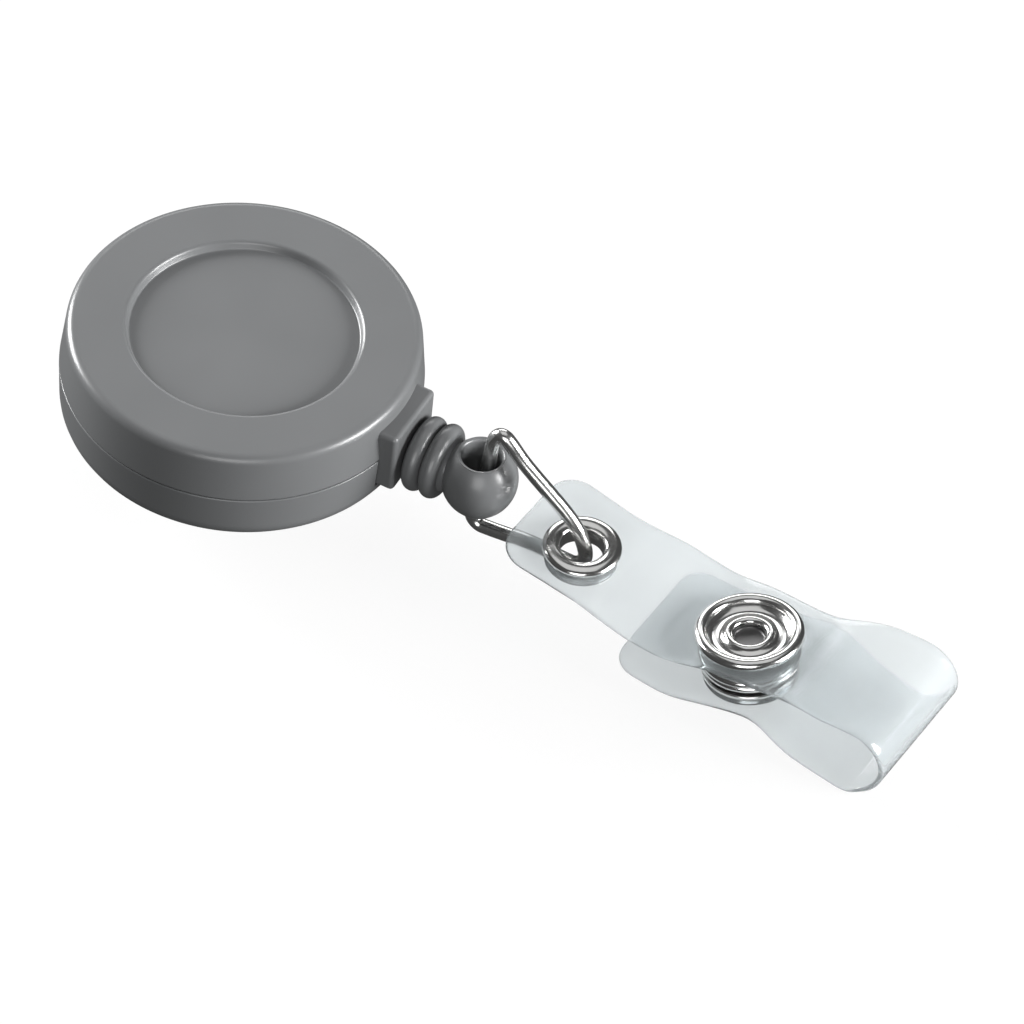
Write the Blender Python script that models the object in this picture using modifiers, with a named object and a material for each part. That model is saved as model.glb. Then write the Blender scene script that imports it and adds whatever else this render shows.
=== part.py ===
"""Retractable badge reel: a round two-piece case with a sprung spool, a cord with a ribbed ball end,
a wire link, a clear vinyl strap closed by a ring snap, and a spring belt clip on the back.

Metres, +Z up out of the case's face. The origin is the centre of the label recess's floor, on the
spool's axis, and +X runs along the cord as it leaves the case.
"""

import math

import bmesh
import bpy
from mathutils import Matrix, Vector

# Case
CASE_HEIGHT = 0.01075
RECESS_DEPTH = 0.00075
TOP_RADIUS = 0.0160
SEAM_RADIUS = 0.0165
BOTTOM_RADIUS = 0.01626
TOP_EDGE = 0.0009
BOTTOM_EDGE = 0.0024
RECESS_FLOOR_RADIUS = 0.01043
RECESS_LIP_RADIUS = 0.01062
SEAM_HEIGHT = 0.00576
SEAM_GAP = 0.0003
INNER_RADIUS = 0.0150
CEILING_HEIGHT = 0.0087
FLOOR_THICKNESS = 0.0016
LIP_INNER_RADIUS = 0.0142
LIP_OUTER_RADIUS = 0.0147
LIP_HEIGHT = 0.0069
POST_RADIUS = 0.0022
POST_BORE = 0.00145
POST_HEIGHT = 0.0083

# Neck block that the cord leaves through
NECK_FACE_X = 0.0176
NECK_INNER_X = 0.0146
NECK_HALF_WIDTH = 0.0037
NECK_LOW = 0.0024
NECK_HIGH = 0.0091
NECK_EDGE = 0.0004

# Cord
CORD_RADIUS = 0.00035
CORD_HEIGHT = 0.00476
CORD_BORE = 0.00075
TURNS_PER_LAYER = 3.5
LAYER_TRANSITION = 0.5
FULL_LAYERS = 3
LAST_LAYER_TURNS = 2.0
LAYER_STEP = 0.0008
TURN_STEP = 0.0008
POINTS_PER_TURN = 18

# Spool
SPOOL_LOW = 0.0021
SPOOL_HIGH = 0.0073
FLANGE = 0.0008
FLANGE_RADIUS = 0.0136
HUB_RADIUS = 0.0091
CUP_RADIUS = 0.0083
SPOOL_BORE = 0.0023

# Cord end
RIB_RADIUS = 0.00357
RIB_START_X = 0.0179
RIB_PITCH = 0.00172
BALL_X = 0.02435
BALL_RADIUS = 0.0035
BALL_HALF_HEIGHT = 0.00385
BALL_HOLE = 0.00185
KNOT_X = 0.0203

# Wire link
WIRE_RADIUS = 0.000675

# Strap
VINYL = 0.0005
EYELET_X = 0.0351
EYELET_Y = -0.0003
EYELET_HEIGHT = 0.00115
SNAP_X = 0.05235
SNAP_Y = -0.0008
SNAP_HEIGHT = -0.00005
SNAP_LEAN = math.radians(8.0)
CAP_TILT = math.radians(3.5)
SNAP_STACK = 0.0031
FOLD_X = 0.0655
FOLD_HEIGHT = -0.0021
FOLD_RADIUS = 0.0036
STRAP_SKEW = 0.09

# Belt clip
CLIP_THICKNESS = 0.0008
CLIP_HALF_WIDTH = 0.0050
CLIP_FOLD_X = -0.0103
CLIP_FOLD_RADIUS = 0.0025
CLIP_TIP_X = 0.0092

GAP = 0.0003
ROUND_STEPS = 40
SMALL_STEPS = 28

BACK_Z = RECESS_DEPTH - CASE_HEIGHT


def level(height):
    """World z of a height above the case's back."""
    return BACK_Z + height


def new_collection(name):
    collection = bpy.data.collections.new(name)
    bpy.context.scene.collection.children.link(collection)
    return collection


def make_material(name, colour, roughness, metallic=0.0, alpha=1.0):
    material = bpy.data.materials.new(name)
    material.use_nodes = True
    shader = material.node_tree.nodes["Principled BSDF"]
    shader.inputs["Base Color"].default_value = (*colour, 1.0)
    shader.inputs["Roughness"].default_value = roughness
    shader.inputs["Metallic"].default_value = metallic
    shader.inputs["Alpha"].default_value = alpha
    return material


def add_object(name, mesh, material=None, collection=None):
    obj = bpy.data.objects.new(name, mesh)
    (collection or PARTS).objects.link(obj)
    if material:
        mesh.materials.append(material.copy())
        mesh.materials[0].name = name
    return obj


def turned(name, profile, material=None, steps=ROUND_STEPS, closed=True, collection=None):
    """A turned shape about local Z from (radius, z) points, down the outer side and up the inner."""
    mesh = bpy.data.meshes.new(name)
    edges = [(i, i + 1) for i in range(len(profile) - 1)]
    if closed:
        edges.append((len(profile) - 1, 0))
    mesh.from_pydata([(radius, 0.0, z) for radius, z in profile], edges, [])
    obj = add_object(name, mesh, material, collection)
    screw = obj.modifiers.new("turn", "SCREW")
    screw.axis = "Z"
    screw.steps = steps
    screw.render_steps = steps
    screw.use_merge_vertices = True
    screw.merge_threshold = 0.000001
    screw.use_smooth_shade = True
    return obj


def arc(centre, radius, start_degrees, end_degrees, count, radius_z=None):
    """Points of an arc in the profile plane, both ends included."""
    height = radius if radius_z is None else radius_z
    points = []
    for i in range(count):
        angle = math.radians(start_degrees + (end_degrees - start_degrees) * i / (count - 1))
        points.append((centre[0] + radius * math.cos(angle), centre[1] + height * math.sin(angle)))
    return points


def box(name, low, high, material=None, collection=None, edge=0.0):
    mesh = bpy.data.meshes.new(name)
    cube = bmesh.new()
    size = Vector(high) - Vector(low)
    middle = (Vector(high) + Vector(low)) / 2
    bmesh.ops.create_cube(cube, size=1.0, matrix=Matrix.Translation(middle) @ Matrix.Diagonal((*size, 1.0)))
    cube.to_mesh(mesh)
    cube.free()
    obj = add_object(name, mesh, material, collection)
    if edge:
        bevel = obj.modifiers.new("edges", "BEVEL")
        bevel.width = edge
        bevel.segments = 2
    return obj


def cylinder(name, radius, low, high, steps=SMALL_STEPS):
    """A cutter along local Z."""
    return turned(name, [(0.0, high), (radius, high), (radius, low), (0.0, low)], None, steps, False, CUTTERS)


def as_cutter(obj):
    obj.hide_render = True
    obj.display_type = "WIRE"
    return obj


def boolean(obj, tool, operation="DIFFERENCE"):
    modifier = obj.modifiers.new(tool.name, "BOOLEAN")
    modifier.operation = operation
    modifier.solver = "EXACT"
    modifier.object = as_cutter(tool)


def tube(name, points, radius, material, collection=None, resolution=2):
    curve = bpy.data.curves.new(name, "CURVE")
    curve.dimensions = "3D"
    curve.bevel_depth = radius
    curve.bevel_resolution = resolution
    curve.use_fill_caps = True
    spline = curve.splines.new("POLY")
    spline.points.add(len(points) - 1)
    for point, place in zip(spline.points, points):
        point.co = (*place, 1.0)
    curve.materials.append(material.copy())
    curve.materials[0].name = name
    obj = bpy.data.objects.new(name, curve)
    (collection or PARTS).objects.link(obj)
    return obj


def smooth_path(points, per_span):
    """Catmull-Rom points through a list of places, both ends included."""
    places = [Vector(p) for p in points]
    places = [2 * places[0] - places[1], *places, 2 * places[-1] - places[-2]]
    out = []
    for a, b, c, d in zip(places, places[1:], places[2:], places[3:]):
        for i in range(per_span):
            t = i / per_span
            out.append(0.5 * (2 * b + (c - a) * t + (2 * a - 5 * b + 4 * c - d) * t**2
                              + (3 * b - 3 * c + d - a) * t**3))
    out.append(places[-2])
    return out


def ribbon(name, path, half_width, thickness, material, across=(0.0, 1.0, 0.0), columns=2):
    """A strip along a path: half_width gives the half width at each point of the path."""
    mesh = bpy.data.meshes.new(name)
    strip = bmesh.new()
    rows = []
    for i, place in enumerate(path):
        half = half_width(i)
        rows.append([strip.verts.new(place + Vector(across) * half * (2 * c / columns - 1))
                     for c in range(columns + 1)])
    for row, following in zip(rows, rows[1:]):
        for c in range(columns):
            strip.faces.new((row[c], following[c], following[c + 1], row[c + 1]))
    strip.normal_update()
    strip.to_mesh(mesh)
    strip.free()
    obj = add_object(name, mesh, material)
    solid = obj.modifiers.new("thickness", "SOLIDIFY")
    solid.thickness = thickness
    solid.offset = 0.0
    solid.use_even_offset = True
    return obj


# ---------------------------------------------------------------- case

def make_front_case():
    seam = level(SEAM_HEIGHT + SEAM_GAP / 2)
    top = level(CASE_HEIGHT)
    profile = [(0.0, 0.0), (RECESS_FLOOR_RADIUS, 0.0)]
    profile += arc((RECESS_LIP_RADIUS + 0.0003, top - 0.0003), 0.0003, 180, 90, 3)
    profile += arc((TOP_RADIUS - TOP_EDGE, top - TOP_EDGE), TOP_EDGE, 90, 0, 4)
    profile += [(SEAM_RADIUS, seam), (INNER_RADIUS, seam), (INNER_RADIUS, level(CEILING_HEIGHT))]
    profile += [(0.0, level(CEILING_HEIGHT))]
    case = turned("front_case", profile, GREY, 48, closed=False)
    block = box("neck_block", (NECK_INNER_X, -NECK_HALF_WIDTH, level(NECK_LOW)),
                (NECK_FACE_X, NECK_HALF_WIDTH, level(NECK_HIGH)), None, CUTTERS, NECK_EDGE)
    boolean(case, block, "UNION")
    boolean(case, make_cord_hole())
    return case


def make_cord_hole():
    hole = cylinder("cord_hole", CORD_BORE, 0.013, 0.019, 16)
    hole.location = (0.0, 0.0, level(CORD_HEIGHT))
    hole.rotation_euler = (0.0, math.pi / 2, 0.0)
    return hole


def make_rear_case():
    seam = level(SEAM_HEIGHT - SEAM_GAP / 2)
    floor = level(FLOOR_THICKNESS)
    profile = [(SEAM_RADIUS, seam)]
    profile += arc((BOTTOM_RADIUS - BOTTOM_EDGE, level(BOTTOM_EDGE)), BOTTOM_EDGE, 0, -90, 5)
    profile += [(POST_BORE, level(0.0)), (POST_BORE, level(POST_HEIGHT)), (POST_RADIUS, level(POST_HEIGHT))]
    profile += [(POST_RADIUS, floor), (LIP_INNER_RADIUS, floor), (LIP_INNER_RADIUS, level(LIP_HEIGHT))]
    profile += [(LIP_OUTER_RADIUS, level(LIP_HEIGHT)), (LIP_OUTER_RADIUS, seam)]
    case = turned("rear_case", profile, GREY, 48)
    boolean(case, box("neck_notch", (0.013, -NECK_HALF_WIDTH - GAP, level(NECK_LOW) - GAP),
                      (0.019, NECK_HALF_WIDTH + GAP, level(LIP_HEIGHT) + GAP), None, CUTTERS))
    boolean(case, box("post_slot", (0.0010, -0.00045, level(0.0030)),
                      (0.0026, 0.00045, level(POST_HEIGHT) + GAP), None, CUTTERS))
    boolean(case, box("run_relief", (0.0120, -0.0060, level(0.0034)),
                      (0.0146, -0.0035, level(LIP_HEIGHT) + GAP), None, CUTTERS))
    return case


# ---------------------------------------------------------------- spool, spring and cord

def make_spool():
    low, high = level(SPOOL_LOW), level(SPOOL_HIGH)
    profile = [(CUP_RADIUS, high), (FLANGE_RADIUS, high), (FLANGE_RADIUS, high - FLANGE)]
    profile += [(HUB_RADIUS, high - FLANGE), (HUB_RADIUS, low + FLANGE), (FLANGE_RADIUS, low + FLANGE)]
    profile += [(FLANGE_RADIUS, low), (SPOOL_BORE, low), (SPOOL_BORE, low + FLANGE), (CUP_RADIUS, low + FLANGE)]
    return turned("spool", profile, WHITE)


def make_spring_cover():
    low = level(SPOOL_HIGH) + GAP
    top = low + 0.0005
    plug_outer = CUP_RADIUS - GAP
    profile = [(POST_RADIUS + GAP, top), (0.0096, top), (0.0096, low), (plug_outer, low)]
    profile += [(plug_outer, low - 0.0006), (plug_outer - 0.0005, low - 0.0006), (plug_outer - 0.0005, low)]
    profile += [(POST_RADIUS + GAP, low)]
    return turned("spring_cover", profile, WHITE)


def make_mainspring():
    """A flat spiral whose inner end is hooked in the post's slot."""
    turns, per_turn, inner, pitch = 7, 20, 0.0031, 0.00066
    middle = level(0.0050)
    path = [Vector((0.0017, 0.0, middle)), Vector((0.0026, 0.0, middle))]
    for i in range(turns * per_turn + 1):
        angle = 2 * math.pi * i / per_turn
        radius = inner + pitch * i / per_turn
        path.append(Vector((radius * math.cos(angle), radius * math.sin(angle), middle)))
    return ribbon("mainspring", path, lambda i: 0.0017, 0.0002, STEEL, across=(0.0, 0.0, 1.0), columns=1)


def winding_place(turn):
    """Radius and height of the cord in the winding, as it fills the spool layer by layer."""
    layer = min(int(turn / TURNS_PER_LAYER), FULL_LAYERS)
    part = turn - layer * TURNS_PER_LAYER
    travel = TURNS_PER_LAYER - LAYER_TRANSITION
    along = min(part, travel) * TURN_STEP
    rising = max(0.0, part - travel) / LAYER_TRANSITION
    span = travel * TURN_STEP
    height = along - span / 2 if layer % 2 == 0 else span / 2 - along
    radius = HUB_RADIUS + GAP + CORD_RADIUS + (layer + rising) * LAYER_STEP
    return radius, level((SPOOL_LOW + SPOOL_HIGH) / 2) + height


def run_start():
    """Radius and height of the straight cord to the neck where it passes just over the winding."""
    radius, z = winding_place(FULL_LAYERS * TURNS_PER_LAYER + LAST_LAYER_TURNS)
    return radius + 2 * CORD_RADIUS + GAP, z


def tangent_angle():
    """Angle about the spool at which the straight cord to the neck leaves the winding."""
    radius, _ = run_start()
    return -math.acos(radius / (NECK_INNER_X + 0.0018))


def make_cord_wound():
    turns = FULL_LAYERS * TURNS_PER_LAYER + LAST_LAYER_TURNS
    count = round(turns * POINTS_PER_TURN)
    points = []
    for i in range(count + 1):
        turn = turns * i / count
        angle = tangent_angle() - math.radians(3.0) - 2 * math.pi * (turns - turn)
        radius, z = winding_place(turn)
        points.append((radius * math.cos(angle), radius * math.sin(angle), z))
    return tube("cord_wound", points, CORD_RADIUS, CORD, resolution=1)


def make_cord_run():
    """The stretch from the winding to the neck, always on this line however much is out."""
    radius, z = run_start()
    angle = tangent_angle()
    start = Vector((radius * math.cos(angle), radius * math.sin(angle), z))
    bend = Vector((NECK_INNER_X + 0.0018, 0.0, level(CORD_HEIGHT)))
    way = (bend - start).normalized()
    points = [start + way * 0.0004, start + way * 0.004, bend - way * 0.0035]
    return tube("cord_run", points, CORD_RADIUS, CORD)


def make_cord_lead():
    height = level(CORD_HEIGHT)
    points = [(x, 0.0, height) for x in (NECK_INNER_X + 0.0005, 0.0160, 0.0173, KNOT_X - 0.0012 - GAP)]
    return tube("cord_lead", points, CORD_RADIUS, CORD)


def make_cord_knot():
    profile = [(0.0, 0.0012), *arc((0.0, 0.0), 0.0011, 60, -60, 5, 0.0012), (0.0, -0.0012)]
    knot = turned("cord_knot", profile, CORD, 14, closed=False)
    knot.location = (KNOT_X, 0.0, level(CORD_HEIGHT))
    knot.rotation_euler = (0.0, math.pi / 2, 0.0)
    return knot


# ---------------------------------------------------------------- cord end and link

def make_cord_end():
    """Two round ribs and a ball, turned about the cord, with an upright hole through the ball."""
    ribs_end = RIB_START_X + 2 * RIB_PITCH
    half = RIB_PITCH / 2
    profile = [(0.0, ribs_end + 0.0012), (0.0022, ribs_end + 0.0012), (0.0024, ribs_end)]
    for centre in (ribs_end - half, RIB_START_X + half):
        profile += arc((RIB_RADIUS - 0.0007, centre), 0.0007, 75, -75, 5, half * 0.98)
        profile.append((0.0026, centre - half))
    profile[-1] = (0.0026, RIB_START_X)
    profile.append((0.0, RIB_START_X))
    end = turned("cord_end", profile, GREY, 32, closed=False)
    end.location = (0.0, 0.0, level(CORD_HEIGHT))
    end.rotation_euler = (0.0, math.pi / 2, 0.0)
    middle = level(CORD_HEIGHT)
    round_side = arc((0.0, 0.0), BALL_RADIUS, 78, -78, 11, BALL_HALF_HEIGHT)
    ball = turned("ball", [(0.0, round_side[0][1]), *round_side, (0.0, round_side[-1][1])],
                  None, 32, False, CUTTERS)
    ball.location = (BALL_X, 0.0, middle)
    boolean(end, ball, "UNION")
    hole = cylinder("ball_hole", BALL_HOLE, -0.006, 0.006)
    hole.location = (BALL_X, 0.0, middle)
    boolean(end, hole)
    bore = cylinder("end_bore", CORD_BORE, 0.017, BALL_X, 16)
    chamber = cylinder("knot_chamber", 0.00155, KNOT_X - 0.0014, BALL_X, 20)
    for tool in (bore, chamber):
        tool.location = (0.0, 0.0, middle)
        tool.rotation_euler = (0.0, math.pi / 2, 0.0)
        boolean(end, tool)
    return end


def link_points():
    """Centre line of the bent wire in the plane y = 0, from inside the ball's hole and back to it."""
    upper = [(0.02492, 0.0052), (0.02518, 0.0088), (0.02540, 0.0104), (0.02582, 0.0112), (0.02640, 0.0113)]
    upper += [(0.02705, 0.01075), (0.02875, 0.0089), (0.03260, 0.0056)]
    corner = [(0.03410, 0.0040), (0.03490, 0.0026), (0.03535, 0.0012), (0.03525, 0.0001), (0.03450, -0.0007)]
    lower = [(0.03350, -0.0008), (0.03000, -0.0007), (0.02600, -0.0011), (0.02475, -0.0011)]
    lower += [(0.02405, -0.0004), (0.02412, 0.0006), (0.02480, 0.0046)]
    return [(x, 0.0, level(height)) for x, height in upper + corner + lower]


def make_link():
    return tube("wire_link", smooth_path(link_points(), 3), WIRE_RADIUS, STEEL)


# ---------------------------------------------------------------- strap

def on_snap(along, up):
    """Place in the snap's leaning frame: along the strap, and up from the upper layer's middle."""
    x = SNAP_X + along * math.cos(SNAP_LEAN) - up * math.sin(SNAP_LEAN)
    z = level(SNAP_HEIGHT) + along * math.sin(SNAP_LEAN) + up * math.cos(SNAP_LEAN)
    return Vector((x, 0.0, z))


def upper_points():
    """Middle line of the upper layer, from its free end to the fold's outermost point."""
    near = [(0.0289, 0.00150), (0.0318, 0.00120), (EYELET_X, EYELET_HEIGHT), (0.0384, 0.00108)]
    near += [(0.0415, 0.0005), (0.0443, -0.0003)]
    places = [Vector((x, 0.0, level(height))) for x, height in near]
    places += [on_snap(along, 0.0) for along in (-0.0052, -0.0017, 0.0017, 0.0052)]
    places.append(Vector((0.0612, 0.0, level(0.0014))))
    for angle in (90, 60, 30, 3):
        places.append(fold_place(angle))
    sway = [(0.0289, 0.0016), (0.0400, 0.0001), (0.0500, 0.0004), (0.0580, -0.0003), (0.0700, -0.0003)]
    return swayed(places, sway)


def lower_points():
    """Middle line of the lower layer, from the fold's outermost point to the free tab's end."""
    places = [fold_place(angle) for angle in (-3, -30, -60, -90)]
    places.append(Vector((0.0610, 0.0, level(-0.0042))))
    places += [on_snap(along, -SNAP_STACK) for along in (0.0050, 0.0017, -0.0017, -0.0050)]
    places += [Vector((0.0448, 0.0, level(-0.0037))), Vector((0.0423, 0.0, level(-0.0034)))]
    sway = [(0.0423, 0.0004), (0.0500, 0.0002), (0.0548, 0.0002), (0.0590, -0.0004), (0.0700, -0.0003)]
    return swayed(places, sway)


def swayed(places, sway):
    """Moves a middle line sideways: sway lists (x, y) along it."""
    return [Vector((place.x, between(sway, place.x), place.z)) for place in places]


def fold_place(degrees):
    angle = math.radians(degrees)
    return Vector((FOLD_X + FOLD_RADIUS * math.cos(angle), 0.0,
                   level(FOLD_HEIGHT) + FOLD_RADIUS * math.sin(angle)))


def rounded_end(distance, radius):
    """How much a rounded corner takes off the half width at a distance from the end."""
    if distance >= radius:
        return 0.0
    return radius - math.sqrt(radius**2 - (radius - distance) ** 2)


def between(table, x):
    """Smoothly read value at x of (x, value) pairs."""
    for (x0, value0), (x1, value1) in zip(table, table[1:]):
        if x <= x1:
            break
    share = max(0.0, min(1.0, (x - x0) / (x1 - x0)))
    return value0 + (value1 - value0) * share * share * (3 - 2 * share)


def strap_layer(name, points, widths, free_end_first, corner):
    """widths lists (x, half width) along the strap; the free end's corners are rounded."""
    path = smooth_path(points, 3)
    free_end = path[0] if free_end_first else path[-1]

    def half_width(i):
        return between(widths, path[i].x) - rounded_end((path[i] - free_end).length + 0.0002, corner)

    return ribbon(name, path, half_width, VINYL, VINYL_MATERIAL, (STRAP_SKEW, 1.0, 0.0), 6)


def make_strap_upper():
    widths = [(0.0289, 0.0060), (0.0370, 0.0058), (0.0430, 0.0063), (0.0570, 0.0056)]
    widths += [(0.0635, 0.0066), (0.0700, 0.0066)]
    strap = strap_layer("strap_upper", upper_points(), widths, True, 0.0028)
    eyelet_hole = cylinder("eyelet_hole", 0.0028, -0.002, 0.002)
    eyelet_hole.location = (EYELET_X, EYELET_Y, level(EYELET_HEIGHT))
    boolean(strap, eyelet_hole)
    boolean(strap, stand_on_snap(cylinder("cap_hole", 0.0020, -0.001, 0.001)))
    return strap


def make_strap_lower():
    widths = [(0.0423, 0.0070), (0.0480, 0.0072), (0.0545, 0.00675), (0.0590, 0.0071)]
    widths += [(0.0650, 0.0068), (0.0700, 0.0066)]
    strap = strap_layer("strap_lower", lower_points(), widths, False, 0.0022)
    boolean(strap, stand_on_snap(cylinder("stud_hole", 0.0015, -SNAP_STACK - 0.001, -SNAP_STACK + 0.001)))
    return strap


# ---------------------------------------------------------------- eyelet and snap

def make_eyelet_barrel():
    bead = arc((0.00291, 0.0010), 0.0007, 180, -60, 9, 0.00045)
    profile = [*bead, (0.0025, 0.00055), (0.0025, -0.00085), (0.0022, -0.00085)]
    barrel = turned("eyelet_barrel", profile, STEEL, SMALL_STEPS)
    barrel.location = (EYELET_X, EYELET_Y, level(EYELET_HEIGHT))
    return barrel


def make_eyelet_washer():
    profile = [(0.0028, -0.00055), (0.0033, -0.00055), (0.0033, -0.00085), (0.0028, -0.00085)]
    washer = turned("eyelet_washer", profile, STEEL, SMALL_STEPS)
    washer.location = (EYELET_X, EYELET_Y, level(EYELET_HEIGHT))
    return washer


def stand_on_snap(obj, tilt=0.0):
    """Places a turned piece on the snap's leaning axis, its z = 0 at the upper layer's middle."""
    obj.location = (SNAP_X, SNAP_Y, level(SNAP_HEIGHT))
    obj.rotation_euler = (-tilt, -SNAP_LEAN, 0.0)
    return obj


def make_snap_cap():
    """Dished cap with a rolled edge, an inner rim round a dimple, and its post, pressed in askew."""
    profile = [(0.0, 0.0004), (0.0013, 0.0004), (0.0015, 0.0006), (0.0015, 0.00112), (0.0017, 0.0013)]
    profile += [(0.0021, 0.0013), (0.0024, 0.00115), (0.0029, 0.00102), (0.0035, 0.00112), (0.0039, 0.00152)]
    profile += arc((0.00435, 0.00132), 0.0006, 130, -75, 7, 0.0005)
    profile += [(0.00175, 0.00066), (0.00175, -0.00065), (0.0, -0.00065)]
    return stand_on_snap(turned("snap_cap", profile, STEEL, SMALL_STEPS, closed=False), CAP_TILT)


def make_snap_socket():
    """Two-bead ring, open below, with a channel for the wire spring."""
    profile = [(0.00205, -0.00055), (0.0043, -0.00055)]
    profile += arc((0.0043, -0.00090), 0.00035, 60, -75, 4)
    profile += arc((0.0041, -0.00160), 0.00035, 60, -90, 4)
    profile += [(0.0027, -0.00195), (0.0027, -0.00170), (0.0037, -0.00170), (0.0037, -0.00085)]
    profile += [(0.00205, -0.00085)]
    return stand_on_snap(turned("snap_socket", profile, STEEL, SMALL_STEPS))


def make_socket_spring():
    """Round wire ring with a gap, which grips the stud's head."""
    points = []
    for i in range(25):
        angle = math.radians(15 + 330 * i / 24)
        points.append((0.00245 * math.cos(angle), 0.00245 * math.sin(angle), -0.0013))
    return stand_on_snap(tube("socket_spring", points, 0.00018, STEEL))


def make_snap_stud():
    """Thin base ring and a hollow head with a waist below its bulge."""
    plate_low = -SNAP_STACK + VINYL / 2 + GAP
    profile = [(0.0, -0.00115), (0.0013, -0.00115), (0.00182, -0.00145), (0.00165, plate_low + GAP)]
    profile += [(0.0044, plate_low + GAP), (0.0044, plate_low), (0.00145, plate_low), (0.00145, -0.00150)]
    profile += [(0.0, -0.00145)]
    return stand_on_snap(turned("snap_stud", profile, STEEL, SMALL_STEPS, closed=False))


def make_stud_flange():
    """Back flange under the lower layer, with the post that holds the stud."""
    top = -SNAP_STACK - VINYL / 2 - GAP
    profile = [(0.0, -0.0018), (0.0011, -0.0018), (0.0011, top), (0.0041, top)]
    profile += arc((0.0041, top - 0.00025), 0.00025, 45, -90, 3)
    profile += [(0.0, top - 0.0005)]
    return stand_on_snap(turned("stud_flange", profile, STEEL, SMALL_STEPS, closed=False))


# ---------------------------------------------------------------- belt clip

def clip_fold(degrees):
    angle = math.radians(degrees)
    middle = level(-GAP - CLIP_THICKNESS / 2 - CLIP_FOLD_RADIUS)
    return Vector((CLIP_FOLD_X + CLIP_FOLD_RADIUS * math.cos(angle), 0.0,
                   middle + CLIP_FOLD_RADIUS * math.sin(angle)))


def clip_half_width(path):
    """Full width with rounded corners at the tip."""
    def half_width(i):
        return CLIP_HALF_WIDTH - rounded_end(abs(CLIP_TIP_X - path[i].x) + 0.0002, 0.002)
    return half_width


def make_clip_base():
    flat = level(-GAP - CLIP_THICKNESS / 2)
    straight = [Vector((x, 0.0, flat)) for x in (CLIP_TIP_X, 0.0087, 0.0077, 0.0, CLIP_FOLD_X)]
    path = straight + [clip_fold(angle) for angle in (108, 126, 144, 162, 175)]
    base = ribbon("belt_clip_base", path, clip_half_width(path), CLIP_THICKNESS, STEEL)
    boolean(base, cylinder("rivet_hole", POST_BORE, level(-0.003), level(0.001)))
    return base


def make_clip_leaf():
    """Spring leaf, bowed away from the base and pinched near its flared tip."""
    places = [(0.0005, -0.0057), (0.0038, -0.0047), (0.0062, -0.0036), (0.0078, -0.0034), (CLIP_TIP_X, -0.0040)]
    path = [clip_fold(angle) for angle in (185, 202, 220, 245, 270)]
    bowed = [path[-1], *(Vector((x, 0.0, level(height))) for x, height in places)]
    path += smooth_path(bowed, 2)[1:]
    return ribbon("belt_clip_leaf", path, clip_half_width(path), CLIP_THICKNESS, STEEL)


def make_clip_rivet():
    head = level(-2 * GAP - CLIP_THICKNESS)
    profile = [(0.0, level(0.0045)), (0.00115, level(0.0045)), (0.00115, head), (0.0026, head)]
    profile += [(0.0024, head - 0.0004), (0.0015, head - 0.0006), (0.0, head - 0.0006)]
    return turned("clip_rivet", profile, STEEL, 24, closed=False)


for old in list(bpy.data.objects):
    bpy.data.objects.remove(old, do_unlink=True)

PARTS = new_collection("badge_reel")
CUTTERS = new_collection("cutters")

GREY = make_material("grey_plastic", (0.21, 0.215, 0.22), 0.42)
WHITE = make_material("white_plastic", (0.75, 0.75, 0.73), 0.45)
STEEL = make_material("plated_steel", (0.75, 0.75, 0.76), 0.15, metallic=1.0)
CORD = make_material("nylon_cord", (0.03, 0.03, 0.03), 0.7)
VINYL_MATERIAL = make_material("clear_vinyl", (0.78, 0.82, 0.83), 0.2, alpha=0.35)

for make in (make_front_case, make_rear_case, make_spool, make_spring_cover, make_mainspring,
             make_cord_wound, make_cord_run, make_cord_lead, make_cord_knot, make_cord_end, make_link,
             make_strap_upper, make_strap_lower, make_eyelet_barrel, make_eyelet_washer,
             make_snap_cap, make_snap_socket, make_socket_spring, make_snap_stud, make_stud_flange,
             make_clip_base, make_clip_leaf, make_clip_rivet):
    make()
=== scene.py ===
import math

import bmesh
import bpy
from mathutils import Matrix, Vector


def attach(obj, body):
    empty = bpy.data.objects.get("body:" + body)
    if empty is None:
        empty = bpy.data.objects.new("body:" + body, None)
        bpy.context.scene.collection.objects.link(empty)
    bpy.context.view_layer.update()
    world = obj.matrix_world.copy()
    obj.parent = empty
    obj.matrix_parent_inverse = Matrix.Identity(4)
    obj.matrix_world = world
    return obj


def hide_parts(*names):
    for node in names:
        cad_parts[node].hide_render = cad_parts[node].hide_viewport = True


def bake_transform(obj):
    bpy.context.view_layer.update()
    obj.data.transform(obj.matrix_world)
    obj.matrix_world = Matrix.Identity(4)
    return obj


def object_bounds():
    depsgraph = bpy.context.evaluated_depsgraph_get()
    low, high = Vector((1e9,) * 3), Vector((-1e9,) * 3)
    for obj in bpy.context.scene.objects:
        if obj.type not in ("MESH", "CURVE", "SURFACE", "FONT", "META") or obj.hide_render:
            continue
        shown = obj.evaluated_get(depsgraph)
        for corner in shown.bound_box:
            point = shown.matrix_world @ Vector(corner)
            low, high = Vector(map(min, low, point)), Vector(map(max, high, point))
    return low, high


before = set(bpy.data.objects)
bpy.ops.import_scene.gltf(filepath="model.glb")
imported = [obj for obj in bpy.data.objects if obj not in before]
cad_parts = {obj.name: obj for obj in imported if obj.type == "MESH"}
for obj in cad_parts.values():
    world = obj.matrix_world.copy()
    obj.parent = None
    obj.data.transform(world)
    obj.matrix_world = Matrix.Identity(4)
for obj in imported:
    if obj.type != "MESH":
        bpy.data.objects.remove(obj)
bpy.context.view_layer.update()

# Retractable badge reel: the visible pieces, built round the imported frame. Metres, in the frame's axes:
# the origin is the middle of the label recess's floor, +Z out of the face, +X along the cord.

# Case, as in the CAD source
BACK_Z = -0.0100
CASE_HEIGHT = 0.01075
TOP_RADIUS = 0.0160
SEAM_RADIUS = 0.0165
BOTTOM_RADIUS = 0.01626
TOP_EDGE = 0.0009
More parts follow.
